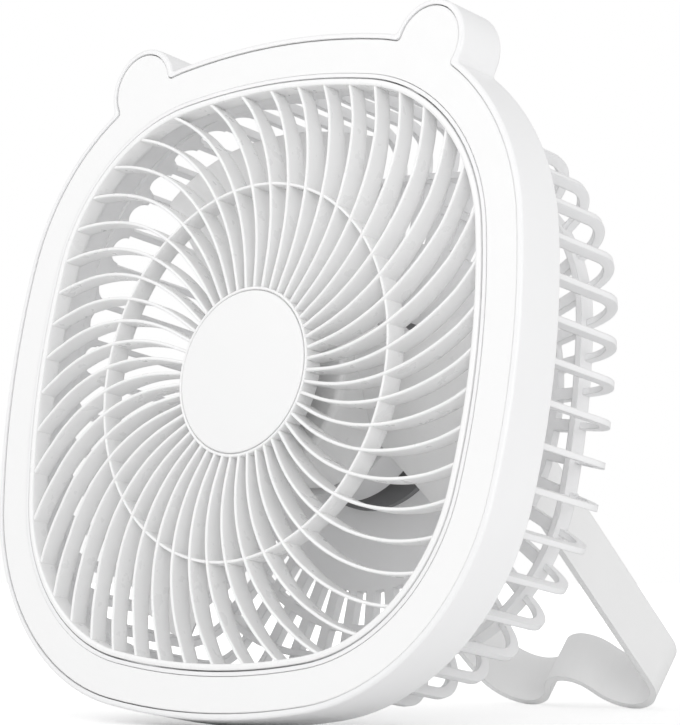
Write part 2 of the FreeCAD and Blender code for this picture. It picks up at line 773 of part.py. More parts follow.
def make_housing_pieces():
    """Cradle, battery, boards, switches, socket, indicator and buttons."""
    start = size("cage_depth")
    gap = size("seat_gap")
    wall = size("cradle_wall")
    width = size("battery_width")
    height = size("battery_height")
    depth = size("battery_depth")
    cradle_start = start + 0.1
    outer = Part.makeBox(
        width + 2 * (wall + gap), wall + depth * 0.6, height + 2 * (wall + gap),
        Vector(-width / 2 - wall - gap, cradle_start, -height / 2 - wall - gap),
    )
    inner = Part.makeBox(
        width + 2 * gap, depth, height + 2 * gap,
        Vector(-width / 2 - gap, cradle_start + wall, -height / 2 - gap),
    )
    shaped("battery_cradle", outer.cut([inner, rod(3.0, start - 1, 5.0, 0.0, -12.0)]))
    cell = Part.makeBox(
        width, depth, height, Vector(-width / 2, cradle_start + wall + 0.1, -height / 2)
    )
    shaped("battery_cell", cell.makeFillet(2.0, [e for e in cell.Edges if e.BoundBox.ZLength > height - 1]))
    board_start = main_board_start()
    board = rod(size("main_board_radius"), board_start, size("board_thickness"))
    reach = size("main_board_radius")
    low = size("main_board_cut")
    board = board.common(Part.makeBox(2 * reach, 60.0, 2 * low, Vector(-reach, start, -low)))
    notches = [rod(size("boss_radius") + 0.3, board_start - 1, 5.0, x, z) for x, z in housing_screw_places()]
    shaped("control_board", board.cut(notches))
    socket = socket_block(0.0, -size("main_board_cut") + 0.4 - size("socket_depth") - 6.0)
    room = size("socket_height") * 0.22
    mouth = socket_block(-room, -size("main_board_cut") - 30.0)
    keep_back = Part.makeBox(40.0, 60.0, 4.0, Vector(-20.0, start, -size("main_board_cut") - 2.0))
    shaped("usb_socket", socket.cut(mouth.cut(keep_back)))
    switch_height = 1.6
    switches = []
    back = board_start + size("board_thickness")
    for label, (x, z) in button_places().items():
        body = Part.makeBox(5.0, switch_height, 5.0, Vector(x - 2.5, back + 0.02, z - 2.5))
        switches.append(body)
        button_start = back + 0.02 + switch_height + size("button_travel") + 0.05
        button_end = start + size("housing_seat") + size("housing_depth") + size("button_proud")
        button = rod(size("button_radius"), button_start, button_end - button_start, x, z)
        button = button.makeFillet(0.8, face_edges(button, button_end))
        shaped(label, button)
    shaped("button_switches", Part.makeCompound(switches))
    lens_end = start + size("housing_seat") + size("housing_depth") + 0.3
    lens = rod(size("indicator_radius"), back + 0.3, lens_end - back - 0.3, 0.0, size("button_up") + 9.0)
    shaped("indicator_lens", lens)


# Stand


def strap_side(shift):
    """Half of the strap's edge line, moved by shift away from the middle line.

    Read in the stand's own plane: across is X and along runs from the pivot to the feet.
    """
    span = size("strap_half_span") + size("strap_thickness") / 2
    foot = size("foot_half_span")
    bend = size("foot_bend_radius")
    hump = size("hump_bend_radius")
    reach = strap_reach() - size("strap_thickness") / 2
    foot_along = reach - bend
    hump_along = reach - size("hump_height") + hump
    straight = size("strap_straight")
    leg = math.hypot(span - foot, foot_along - straight)
    leg_angle = math.atan2(foot_along - straight, span - foot)
    turn = leg_angle - math.acos(bend / leg)
    leg_touch = turn_vector(foot, foot_along, bend + shift, -turn)
    apart = math.hypot(foot, hump_along - foot_along)
    base = math.atan2(hump_along - foot_along, -foot)
    cross = base - math.acos((bend + hump) / apart)
    foot_touch = turn_vector(foot, foot_along, bend + shift, cross)
    foot_middle = turn_vector(foot, foot_along, bend + shift, (cross - turn) / 2)
    hump_touch = turn_vector(0.0, hump_along, hump - shift, cross + math.pi)
    hump_top = (0.0, hump_along - hump + shift)
    first = (span + shift, 0.0)
    second = (span + shift, straight)
    return first, second, leg_touch, foot_middle, foot_touch, hump_touch, hump_top


def turn_vector(across, along, radius, angle):
    """A point on a circle in the stand's plane."""
    return (across + radius * math.cos(angle), along + radius * math.sin(angle))


def strap_reach():
    """Distance from the pivot to the lowest edge of a foot that puts it on the ground plane."""
    lean = math.radians(size("lean_back"))
    total = lean + math.radians(size("stand_drop"))
    pivot = size("pivot_up") * math.cos(lean) - size("pivot_depth") * math.sin(lean) - ground_level()
    return (pivot - size("strap_width") / 2 * math.cos(total)) / math.sin(total)


def make_stand_strap():
    """One bent flat band: two legs, two feet and a hump between them."""
    half = size("strap_thickness") / 2
    outer = strap_side(half)
    inner = strap_side(-half)

    def point(pair, side):
        return Vector(side * pair[0], pair[1], 0)

    edges = []
    for line in (outer, inner):
        for side in (-1, 1):
            first, second, leg, middle, foot, hump, top = [point(p, side) for p in line]
            edges.append(Part.makeLine(first, second))
            edges.append(Part.makeLine(second, leg))
            edges.append(Part.Arc(leg, middle, foot).toShape())
            edges.append(Part.makeLine(foot, hump))
        left, right = point(line[5], -1), point(line[5], 1)
        edges.append(Part.Arc(left, point(line[6], 1), right).toShape())
    for side in (-1, 1):
        edges.append(Part.makeLine(point(outer[0], side), point(inner[0], side)))
    width = size("strap_width")
    band = Part.Face(Part.Wire(Part.__sortEdges__(edges))).extrude(Vector(0, 0, width))
    band.translate(Vector(0, 0, -width / 2))
    span = size("strap_half_span")
    for side in (-1, 1):
        start = span if side > 0 else -span - 2 * half
        eye = Part.makeCylinder(width / 2, 2 * half, Vector(start, 0, 0), Vector(1, 0, 0))
        band = band.fuse(eye)
    hole_radius = size("pivot_screw_radius") + size("running_gap")
    hole = Part.makeCylinder(hole_radius, 4 * span, Vector(-2 * span, 0, 0), Vector(1, 0, 0))
    band = band.cut(hole).removeSplitter()
    band.rotate(Vector(0, 0, 0), Vector(1, 0, 0), -size("stand_drop"))
    band.translate(Vector(0, size("pivot_depth"), size("pivot_up")))
    return shaped("stand_strap", band)


def make_pivot_pieces():
    """Shouldered screws and washers that hold the stand's eyes to the housing."""
    span = size("strap_half_span")
    thick = size("strap_thickness")
    washer = size("washer_thickness")
    screws = []
    washers = []
    for side in (-1, 1):
        axis = Vector(side, 0, 0)
        centre = Vector(0, size("pivot_depth"), size("pivot_up"))
        inner = centre + axis * (span - washer - 6.0)
        shank = Part.makeCylinder(size("pivot_screw_radius") - 0.01, washer + 6.0 + thick + 0.1, inner, axis)
        head_place = centre + axis * (span + thick + 0.1)
        head = Part.makeCylinder(size("pivot_head_radius"), size("pivot_head_height"), head_place, axis)
        far = head_place + axis * size("pivot_head_height")
        rim = [e for e in head.Edges if abs(e.BoundBox.XMin - far.x) < 0.01 and e.BoundBox.XLength < 0.01]
        head = head.makeFillet(0.6, rim)
        slot_start = far - axis * 0.8
        slot = Part.makeBox(1.6, 1.0, 5.0, Vector(slot_start.x - 0.8, centre.y - 0.5, centre.z - 2.5))
        slot.translate(axis * 0.8)
        screws.append(shank.fuse(head).cut(slot).removeSplitter())
        ring_place = centre + axis * (span - washer - 0.05)
        ring = Part.makeCylinder(size("pivot_boss_radius") - 0.5, washer, ring_place, axis)
        ring = ring.cut(Part.makeCylinder(size("pivot_screw_radius") + 0.05, washer, ring_place, axis))
        washers.append(ring)
    shaped("pivot_screws", Part.makeCompound(screws))
    shaped("pivot_washers", Part.makeCompound(washers))


# Screws and leads


def small_screw(x, z, head_start, length, direction):
    """A pan-head screw along the depth: head at head_start, shank running the given way."""
    axis = Vector(0, direction, 0)
    base = Vector(x, head_start, z)
    head = Part.makeCylinder(size("screw_head_radius"), size("screw_head_height"), base, axis * -1)
    shank = Part.makeCylinder(size("screw_radius") - 0.01, length, base, axis)
    slot_start = base - axis * size("screw_head_height")
    slot = Part.makeBox(0.6, 1.2, 3.0, Vector(x - 0.3, slot_start.y - 0.6, z - 1.5))
    return head.fuse(shank).cut(slot).removeSplitter()


def make_screws():
    """Cage screws from behind, mount screws from the front, housing screws from the front."""
    back = size("frame_depth")
    cage = [small_screw(x, z, back + 0.02, 8.0, -1) for x, z in cage_screw_places()]
    shaped("cage_screws", Part.makeCompound(cage))
    plate = size("cage_depth") - size("back_plate_thickness")
    seat = plate - size("mount_column_wall") - 0.02
    mount = [small_screw(x, z, seat, size("mount_column_wall") + 2.8, 1) for x, z in mount_screw_places()]
    shaped("mount_screws", Part.makeCompound(mount))
    housing = [small_screw(x, z, plate - 0.02, 12.0, 1) for x, z in housing_screw_places()]
    shaped("housing_screws", Part.makeCompound(housing))


def make_motor_lead():
    """The flat lead that runs from the stator through the mount and the back plate to the board."""
    low = -(size("bearing_radius") + size("bearing_tube_wall") + size("mount_flange_radius")) / 2 + 1.0
    start = size("mount_flange_front") - 4.0
    lead = rod(1.2, start, size("cage_depth") - size("back_plate_thickness") - start + 3.6, 0.0, low)
    return shaped("motor_lead", lead)


def set_down():
    """Leans the fan back, sets it on the ground plane and centres it over the origin."""
    lean = FreeCAD.Rotation(Vector(1, 0, 0), -size("lean_back"))
    total = FreeCAD.BoundBox()
    for piece, local in PIECES:
        piece.Placement = FreeCAD.Placement(Vector(), lean).multiply(local)
        total.add(piece.Shape.BoundBox)
    shift = Vector(-total.Center.x, -total.Center.y, -ground_level())
    for piece, local in PIECES:
        piece.Placement = FreeCAD.Placement(shift, lean).multiply(local)
    return shift


def ground_level():
    """Height of the ground plane below the centre of the face, where the frame's edge touches it."""
    lean = math.radians(size("lean_back"))
    edge = size("frame_edge_round")
    low = (size("head_half_height") - edge) * math.cos(lean) + (size("frame_depth") - edge) * math.sin(lean)
    return -(low + edge)


make_front_bezel()
make_light_diffuser()
make_led_board()
make_led_chips()
make_front_grille()
make_hub_cap()
make_impeller()
make_motor()
make_motor_mount()
make_rear_cage()
make_rear_housing()
make_housing_pieces()
make_stand_strap()
make_pivot_pieces()
make_screws()
make_motor_lead()
doc.recompute()

shift = set_down()
doc.recompute()

problems = []
for item in doc.Objects:
    if any(state in ("Invalid", "Error") for state in item.State):
        problems.append(f"{item.Label}: {item.State}")
for piece, local in PIECES:
    if piece.Shape.isNull() or not piece.Shape.isValid() or not piece.Shape.Solids:
        problems.append(f"{piece.Label}: shape")
if problems:
    raise RuntimeError("; ".join(problems))

for piece, local in PIECES:
    piece.Shape.exportStep(f"parts/{piece.Label}.step")
print(len(PIECES), "sub-parts, shift", shift)
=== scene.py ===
# %% [markdown]
# # A camping fan, finished in Blender
#
# The fan's construction is already settled: a frame of solid parts with real sizes and joints. This
# script loads that frame and gives it its looks. It works out the finer forms of the moulded grille
# (rounded ribs, rings and rim, a shallow dome on the cap), makes a finish for every material, and sets
# up a small studio with the camera where the photographer stood.
#
# Everything is in metres. The fan stands on z = 0, looks along -Y and leans back a little.

# %% Load the frame
import bpy
import json
import math
import numpy as np
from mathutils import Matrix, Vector


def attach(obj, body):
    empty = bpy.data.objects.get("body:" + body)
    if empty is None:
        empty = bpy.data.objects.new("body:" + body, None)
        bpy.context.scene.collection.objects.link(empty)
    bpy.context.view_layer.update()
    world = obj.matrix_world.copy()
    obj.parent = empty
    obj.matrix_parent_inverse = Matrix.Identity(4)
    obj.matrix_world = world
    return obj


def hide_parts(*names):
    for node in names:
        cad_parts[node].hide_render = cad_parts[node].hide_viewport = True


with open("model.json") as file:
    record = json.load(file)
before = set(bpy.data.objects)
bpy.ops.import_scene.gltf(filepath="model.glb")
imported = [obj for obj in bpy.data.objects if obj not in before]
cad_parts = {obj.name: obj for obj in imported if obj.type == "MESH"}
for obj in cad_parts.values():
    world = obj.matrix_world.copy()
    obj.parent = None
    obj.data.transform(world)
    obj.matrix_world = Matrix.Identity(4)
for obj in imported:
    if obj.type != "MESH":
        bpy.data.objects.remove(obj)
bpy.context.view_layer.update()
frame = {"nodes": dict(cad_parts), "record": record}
MM = 0.001
print("nodes:", len(frame["nodes"]))

# %% [markdown]
# ## The fan's own frame
#
# Shapes are easiest to describe the way the maker draws them: X to the right, Y from the face into
# the fan, Z up, zero in the middle of the face. The real fan leans back on its stand, so every point
# worked out in that frame is turned by the lean and moved to where the spinning axis really is. Both
# come from the record: the axis of the impeller's joint is the fan's own Y direction.

# %% The fan's own frame
joints = {joint["name"]: joint for joint in frame["record"]["behaviour"]["joints"]}
spin = joints["impeller_spin"]
LEAN = math.atan2(-spin["axis"][2], spin["axis"][1])
SPIN_DEPTH = 25 * MM
FACE_CENTRE = np.array(spin["pos_m"]) - SPIN_DEPTH * np.array(spin["axis"])
LEANT = np.array([
    [1, 0, 0],
    [0, math.cos(LEAN), math.sin(LEAN)],
    [0, -math.sin(LEAN), math.cos(LEAN)],
])


def placed(points):
    """Points of the fan's own frame in the standing frame: turned by the lean, then moved."""
    return np.asarray(points) @ LEANT.T + FACE_CENTRE


print("lean:", round(math.degrees(LEAN), 2), "degrees, face centre:", FACE_CENTRE.round(4))

# %% [markdown]
# ## Finishes
#
# The fan is white plastic nearly all over, so the finish has to do its work quietly. Real moulded
# plastic is never one flat colour: the pigment drifts a little from thick to thin places, the mould's
# fine texture breaks up the shine, and each edge has a small radius that catches the light. One
# function builds that kind of finish, and each part of the fan gets its own shade and polish of it.
# The edge radius comes from the Bevel node, which rounds the shading of sharp corners.

# %% Helper: one moulded plastic
def noise(nodes, links, coordinates, scale, detail):
    """A noise texture on the piece's own coordinates; scale is in patches per metre."""
    texture = nodes.new("ShaderNodeTexNoise")
    texture.inputs["Scale"].default_value = scale
    texture.inputs["Detail"].default_value = detail
    links.new(coordinates, texture.inputs["Vector"])
    return texture.outputs["Fac"]


def between(nodes, links, value, low, high):
    """Carries a noise value from its usual 0.3 to 0.7 onto the range from low to high."""
    stretch = nodes.new("ShaderNodeMapRange")
    stretch.inputs["From Min"].default_value = 0.3
    stretch.inputs["From Max"].default_value = 0.7
    stretch.inputs["To Min"].default_value = low
    stretch.inputs["To Max"].default_value = high
    links.new(value, stretch.inputs["Value"])
    return stretch.outputs["Result"]


def two_colours(nodes, links, value, first, second):
    """Mixes two colours by a value from 0 to 1."""
    mix = nodes.new("ShaderNodeMix")
    mix.data_type = "RGBA"
    mix.inputs["A"].default_value = (*first, 1)
    mix.inputs["B"].default_value = (*second, 1)
    links.new(value, mix.inputs["Factor"])
    return mix.outputs["Result"]


def finish(name, colour, roughness, drift=0.03, grain=3000, relief=0.006, edge=0.3, metal=0.0,
           sheen_patch=45, second=None):
    """A surface finish: drifting colour, patchy polish, fine relief and softened edges.

    drift is how far the colour darkens in places, grain the relief's patches per metre, relief its
    height in millimetres and edge the softened corners' radius in millimetres; pieces whose corners are
    modelled round have no edge.
    """
    material = bpy.data.materials.new(name)
    material.use_nodes = True
    nodes, links = material.node_tree.nodes, material.node_tree.links
    shader = nodes["Principled BSDF"]
    place = nodes.new("ShaderNodeTexCoord").outputs["Object"]
    cloud = between(nodes, links, noise(nodes, links, place, sheen_patch, 3), 0, 1)
    darker = second or tuple(c * (1 - drift) for c in colour)
    links.new(two_colours(nodes, links, cloud, colour, darker), shader.inputs["Base Color"])
    patches = noise(nodes, links, place, sheen_patch * 4, 4)
    polish = between(nodes, links, patches, roughness * 0.85, roughness * 1.15)
    links.new(polish, shader.inputs["Roughness"])
    shader.inputs["Metallic"].default_value = metal
    bump = nodes.new("ShaderNodeBump")
    bump.inputs["Distance"].default_value = relief * MM
    bump.inputs["Strength"].default_value = 0.6
    links.new(noise(nodes, links, place, grain, 2), bump.inputs["Height"])
    if edge:
        corner = nodes.new("ShaderNodeBevel")
        corner.samples = 8
        corner.inputs["Radius"].default_value = edge * MM
        links.new(corner.outputs["Normal"], bump.inputs["Normal"])
    links.new(bump.outputs["Normal"], shader.inputs["Normal"])
    return material


# %% [markdown]
# ## The fan's finishes by name
#
# The whites differ a little, as they do when parts come from different moulds: the light panel is the
# purest, the frame and grille are glossier, and the cage and strap are a little duller. The hidden
# parts get finishes of their own too, because they show through the ribs or when the fan is opened.

# %% The finishes
FINISHES = {
    "shell_white": finish("shell_white", (0.90, 0.90, 0.905), 0.34, drift=0.015),
    "panel_opal": finish("panel_opal", (0.91, 0.91, 0.91), 0.42, drift=0.006, relief=0.003, edge=0.4),
    "grille_white": finish("grille_white", (0.92, 0.92, 0.92), 0.30, drift=0.012, relief=0.003, edge=0),
    "cap_white": finish("cap_white", (0.89, 0.89, 0.89), 0.36, drift=0.008, relief=0.003, edge=0),
    "blade_white": finish("blade_white", (0.86, 0.86, 0.86), 0.32, drift=0.02),
    "cage_white": finish("cage_white", (0.90, 0.90, 0.905), 0.42, drift=0.015, relief=0.003, edge=0.6),
    "housing_white": finish("housing_white", (0.86, 0.86, 0.865), 0.42, drift=0.02),
    "mount_white": finish("mount_white", (0.70, 0.70, 0.705), 0.5, drift=0.03),
    "strap_white": finish("strap_white", (0.88, 0.88, 0.88), 0.38, drift=0.015, edge=0.5),
    "button_white": finish("button_white", (0.82, 0.83, 0.84), 0.4, drift=0.02),
    "lens_clear": finish("lens_clear", (0.80, 0.88, 0.92), 0.2, drift=0.02),
    "shaft_steel": finish("shaft_steel", (0.62, 0.62, 0.63), 0.25, metal=1.0, grain=6000),
    "can_steel": finish("can_steel", (0.46, 0.46, 0.47), 0.38, metal=1.0, grain=4000),
    "magnet_dark": finish("magnet_dark", (0.09, 0.09, 0.095), 0.6, drift=0.15),
    "stator_copper": finish("stator_copper", (0.58, 0.27, 0.12), 0.35, metal=1.0, drift=0.2, grain=2500),
    "board_green": finish("board_green", (0.03, 0.20, 0.10), 0.4, drift=0.12),
    "board_white": finish("board_white", (0.84, 0.85, 0.84), 0.45),
    "lamp_yellow": finish("lamp_yellow", (0.88, 0.76, 0.34), 0.3, drift=0.08),
    "cell_blue": finish("cell_blue", (0.28, 0.38, 0.55), 0.35, drift=0.08),
    "cradle_grey": finish("cradle_grey", (0.55, 0.55, 0.56), 0.5),
    "lead_red": finish("lead_red", (0.60, 0.06, 0.05), 0.4, drift=0.1),
    "screw_steel": finish("screw_steel", (0.70, 0.70, 0.71), 0.28, metal=1.0, grain=5000),
    "washer_nylon": finish("washer_nylon", (0.80, 0.80, 0.77), 0.45),
    "socket_steel": finish("socket_steel", (0.60, 0.60, 0.62), 0.3, metal=1.0),
    "switch_dark": finish("switch_dark", (0.06, 0.06, 0.06), 0.45, drift=0.15),
}
SLOT_OF = {part["node"]: part["material_slot"] for part in frame["record"]["subparts"]}
for node, item in frame["nodes"].items():
    for index in range(max(1, len(item.material_slots))):
        if not item.material_slots:
            item.data.materials.append(None)
        item.material_slots[index].material = FINISHES[SLOT_OF[node]]
print("finished nodes:", len(frame["nodes"]))

# %% [markdown]
# The motor mount is pale, but a painted shade darkens it in a crescent round its foot, behind the drum,
# where shadow falls. The mount's colour therefore changes with depth: past the drum's back edge it is
# painted dark grey as shade. The depth is the object's own position measured along the fan's axis.

# %% Painted shade at the foot of the motor mount
DRUM_BACK = 51.2
SHADE_BLEND_WIDTH = 0.5
# painted shade: a dark grey standing in for the shadow round the mount's foot
PAINTED_SHADE_GREY = (0.22, 0.22, 0.225, 1)
mount = FINISHES["mount_white"]
nodes, links = mount.node_tree.nodes, mount.node_tree.links
place = nodes.new("ShaderNodeTexCoord").outputs["Object"]
along = nodes.new("ShaderNodeVectorMath")
along.operation = "DOT_PRODUCT"
along.inputs[1].default_value = LEANT[:, 1]
links.new(place, along.inputs[0])
# mask of the painted shade: 0 in front of the drum's back edge, 1 behind it
foot = nodes.new("ShaderNodeMapRange")
start = float(FACE_CENTRE @ LEANT[:, 1]) + DRUM_BACK * MM
foot.inputs["From Min"].default_value = start
foot.inputs["From Max"].default_value = start + SHADE_BLEND_WIDTH * MM
links.new(along.outputs["Value"], foot.inputs["Value"])
shader = nodes["Principled BSDF"]
pale = shader.inputs["Base Color"].links[0].from_socket
# mixes the mount's pale colour with the painted shade grey
shade_blend = nodes.new("ShaderNodeMix")
shade_blend.data_type = "RGBA"
shade_blend.inputs["B"].default_value = PAINTED_SHADE_GREY
links.new(pale, shade_blend.inputs["A"])
links.new(foot.outputs["Result"], shade_blend.inputs["Factor"])
links.new(shade_blend.outputs["Result"], shader.inputs["Base Color"])

# %% [markdown]
# ## Building blocks for the moulded grille
#
# The grille is the face of the fan, and a moulded rib is never a sharp-edged plate: its front is round
# and its flanks thin a little towards the back, so that it leaves the mould. Each form here is a grid
# of points: one direction runs along the form and the other runs once round its section. A whole set
# of ribs is one array, worked out at once.

# %% Helper: a skin over a grid of points
def skin(name, grids, node, body, slot_name, ring=False):
    """A closed mesh over grids shaped (copies, along, around, 3), each closed round its section.

    With ring the form also closes on itself along its length; without it, both ends get a flat cap.
    """
    copies, along, around, _ = grids.shape
    number = np.arange(copies * along * around).reshape(copies, along, around)
    here = number if ring else number[:, :-1]
    ahead = np.roll(number, -1, axis=1) if ring else number[:, 1:]
    quads = np.stack([here, np.roll(here, -1, axis=2), np.roll(ahead, -1, axis=2), ahead], axis=-1)
    corners = quads.reshape(-1, 4)
    at = grids.reshape(-1, 3)
    middle = at.mean(axis=0)
    a, b, c, d = (at[corners[:, k]] - middle for k in range(4))
    volume = (np.cross(b - a, c - a) * a).sum() + (np.cross(c - a, d - a) * a).sum()
    outwards = volume > 0
    corners = corners if outwards else corners[:, ::-1]
    loops = [corners.ravel()]
    totals = [np.full(len(corners), 4)]
    if not ring:
        first, last = number[:, 0], number[:, -1]
        caps = (first[:, ::-1], last) if outwards else (first, last[:, ::-1])
        loops += [cap.ravel() for cap in caps]
        totals += [np.full(2 * copies, around)]
    loops, totals = np.concatenate(loops), np.concatenate(totals)
    mesh = bpy.data.meshes.new(name)
    mesh.vertices.add(len(at))
    mesh.vertices.foreach_set("co", at.astype(np.float32).ravel())
    mesh.loops.add(len(loops))
    mesh.loops.foreach_set("vertex_index", loops.astype(np.int32))
    mesh.polygons.add(len(totals))
    starts = np.concatenate([[0], np.cumsum(totals)[:-1]]).astype(np.int32)
    mesh.polygons.foreach_set("loop_start", starts)
    mesh.polygons.foreach_set("use_smooth", np.arange(len(totals)) < len(corners))
    mesh.update(calc_edges=True)
    mesh.validate()
    item = bpy.data.objects.new(name, mesh)
    bpy.context.scene.collection.objects.link(item)
    mesh.materials.append(FINISHES[slot_name])
    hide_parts(node)
    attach(item, body)


# %% [markdown]
# A rib's section is given by three lists: how far out each point lies to the side, how far it lies
# behind the crest of the rounded front, and which share of the rib's depth it has run back. The front
# is a half circle; the flanks then run straight to the back and draw in slightly.

# %% Helper: rib section and the face's crown
# These sizes and all that follow are in millimetres, unless they say otherwise.
CROWN_HEIGHT = 1.5
CROWN_MIDDLE = 52.0
CROWN_REACH = 27.0
GRILLE_DEPTH = 6.0
FRONT_POINTS = 13


def crown(radius):
    """Depth of the grille's front at a radius: a shallow arch between the hub and the outer rim."""
    share = (np.asarray(radius) - CROWN_MIDDLE) / CROWN_REACH
    return -CROWN_HEIGHT * np.clip(1 - share ** 2, 0, 1)


def rib_section(half_width, draft):
    """Sideways places and shares of the depth around a rib: round front, drafted flanks, round back."""
    turn = np.linspace(np.pi, 0, FRONT_POINTS)
    front_side = np.cos(turn) * half_width
    front_back = half_width * (1 - np.sin(turn))
    flank = np.linspace(0, 1, 6)[1:-1]
    right = half_width * (1 - draft * flank)
    foot = half_width * (1 - draft)
    side = np.concatenate([front_side, right, [foot, foot * 0.7, -foot * 0.7, -foot], -right[::-1]])
    round_front = np.concatenate([front_back, np.full(len(side) - len(turn), half_width)])
    share = np.concatenate([np.zeros(len(turn)), flank, [0.97, 1, 1, 0.97], flank[::-1]])
    return side, round_front, share


# %% [markdown]
# The outline of the opening is made of eight arcs that meet smoothly. A point on it is found from the
# direction in which the outline faces there, so moving the outline in or out is only a change of
# radius. The sizes are those of the solid head.

# %% Helper: the square-round outline
HALF = (100.0, 99.5)
CORNER_CENTRE = (27.5, 27.0)
CORNER = 70.3
OUTLINE_POINTS = 4001


def outline(facing, offset):
    """Points of the head's outline moved outwards by offset, where it faces the given directions."""
    across, up = np.abs(np.cos(facing)), np.abs(np.sin(facing))
    near = (HALF[0] - CORNER_CENTRE[0], HALF[1] - CORNER_CENTRE[1])
    far = (CORNER_CENTRE[1], CORNER_CENTRE[0])
    side, top = ((n * n + f * f - CORNER ** 2) / (2 * (n - CORNER)) for n, f in zip(near, far))
    quarter = np.arctan2(up, across)
    on_side = quarter < math.atan2(far[0], side - near[0])
    on_top = quarter > math.pi / 2 - math.atan2(far[1], top - near[1])
    centre_x = np.where(on_side, HALF[0] - side, np.where(on_top, 0, CORNER_CENTRE[0]))
    centre_z = np.where(on_top, HALF[1] - top, np.where(on_side, 0, CORNER_CENTRE[1]))
    radius = np.where(on_side, side, np.where(on_top, top, CORNER)) + offset
    x = np.sign(np.cos(facing)) * (centre_x + radius * across)
    z = np.sign(np.sin(facing)) * (centre_z + radius * up)
    return x, z


def outline_radius(angle, offset):
    """Distance from the centre to the outline in each direction."""
    x, z = outline(np.linspace(0, 2 * np.pi, OUTLINE_POINTS), offset)
    turned, reach = np.arctan2(z, x), np.hypot(x, z)
    order = np.argsort(turned)
    return np.interp((angle + np.pi) % (2 * np.pi) - np.pi, turned[order], reach[order], period=2 * np.pi)


# %% [markdown]
# ## Spiral grille
#
# Each rib leaves the hub straight and then bends round one circle until it meets the rim. The ribs are
# all the same curve turned about the centre, but since the opening isn't round each one is cut off at
# its own length: a trial curve is followed until it is inside the rim, and the rib stops there, so
# that rib and rim overlap. The middle ring sits a little behind the ribs' fronts and ties them
# together.

# %% Spiral ribs
RIB_COUNT = 48
RIB_PHASE = 6.0  # degrees
RIB_HALF = 0.5
RIB_DRAFT = 0.22
BEND_START = 30.8
BEND_RADIUS = 59.7
BEND_SWEEP = math.radians(78)
RIM_SEAM = 13.8
RIM_WIDTH = 1.8
RIM_SINK = 0.6
HUB_RADIUS = 25.0
HUB_SINK = 0.8
TRIAL_POINTS = 600
BEND_POINTS = 56
STRAIGHT_POINTS = 4

turn_of = np.radians(RIB_PHASE + 360 * np.arange(RIB_COUNT) / RIB_COUNT)
trial = np.linspace(0, BEND_SWEEP, TRIAL_POINTS)
trial_x = BEND_START + BEND_RADIUS * np.sin(trial)
trial_z = BEND_RADIUS * (1 - np.cos(trial))
trial_radius = np.hypot(trial_x, trial_z)
trial_angle = np.arctan2(trial_z, trial_x) + turn_of[:, None]
past = trial_radius > outline_radius(trial_angle, -RIM_SEAM - RIM_WIDTH * RIM_SINK)
last = trial[np.argmax(past, axis=1)]

straight = np.linspace(HUB_RADIUS - HUB_SINK, BEND_START, STRAIGHT_POINTS + 1)[:-1]
bend = last[:, None] * np.linspace(0, 1, BEND_POINTS)
no_bend = np.zeros((RIB_COUNT, STRAIGHT_POINTS))
all_straight = np.tile(straight, (RIB_COUNT, 1))
path_x = np.concatenate([all_straight, BEND_START + BEND_RADIUS * np.sin(bend)], axis=1)
path_z = np.concatenate([no_bend, BEND_RADIUS * (1 - np.cos(bend))], axis=1)
heading = np.concatenate([no_bend, bend], axis=1)
side, round_front, share = rib_section(RIB_HALF, RIB_DRAFT)
front = crown(np.hypot(path_x, path_z))[..., None] + round_front
local_x = path_x[..., None] - np.sin(heading)[..., None] * side
local_z = path_z[..., None] + np.cos(heading)[..., None] * side
depth = front + (GRILLE_DEPTH - front) * share
cos_turn, sin_turn = np.cos(turn_of)[:, None, None], np.sin(turn_of)[:, None, None]
rib_points = np.stack([
    local_x * cos_turn - local_z * sin_turn,
    depth,
    local_x * sin_turn + local_z * cos_turn,
], axis=-1)
skin("grille_ribs", placed(rib_points * MM), "front_grille", "head", "grille_white")

# %% [markdown]
# The middle ring and the hub's rim are turned round the axis; the outer rim follows the outline of the
# opening. All three have a section like a rib's, so their fronts are round too. The outer rim is
# wider and its front is half as round.

# %% Rings of the grille
RING_HALF = 0.45
RING_DRAFT = 0.1
RING_POINTS = 256
MIDDLE_RING = 55.3
MIDDLE_SET_BACK = 0.5
HUB_RIM = 24.5
HUB_RIM_FRONT = -0.1
RIM_FRONT = -0.6
RIM_ROUNDNESS = 0.5
RIM_POINTS = 480


def turned_ring(name, radius, front_depth):
    """A ring about the fan's axis with a rib's section."""
    side, round_front, share = rib_section(RING_HALF, RING_DRAFT)
    angle = np.linspace(0, 2 * np.pi, RING_POINTS, endpoint=False)[:, None]
    start = front_depth + round_front
    points = np.stack([
        (radius + side) * np.cos(angle),
        (start + (GRILLE_DEPTH - start) * share) * np.ones_like(angle),
        (radius + side) * np.sin(angle),
    ], axis=-1)
    skin(name, placed(points[None] * MM), "front_grille", "head", "grille_white", ring=True)


turned_ring("grille_middle_ring", MIDDLE_RING, float(crown(MIDDLE_RING)) + MIDDLE_SET_BACK)
turned_ring("grille_hub_rim", HUB_RIM, HUB_RIM_FRONT)

side, round_front, share = rib_section(RIM_WIDTH / 2, 0.0)
facing = np.linspace(0, 2 * np.pi, RIM_POINTS, endpoint=False)[:, None]
rim_x, rim_z = outline(facing, -RIM_SEAM - RIM_WIDTH / 2 + side)
rim_front = RIM_FRONT + round_front * RIM_ROUNDNESS
rim_depth = (rim_front + (GRILLE_DEPTH - rim_front) * share) * np.ones_like(rim_x)
rim = np.stack([rim_x, rim_depth, rim_z], axis=-1)[None]
skin("grille_rim", placed(rim * MM), "front_grille", "head", "grille_white", ring=True)


# %% [markdown]
# The hub is a plate with a plain cap let into it. Both are turned profiles: a list of radii and a list
# of depths, from the front's centre out and round to the back's centre. The cap is a very shallow dome.

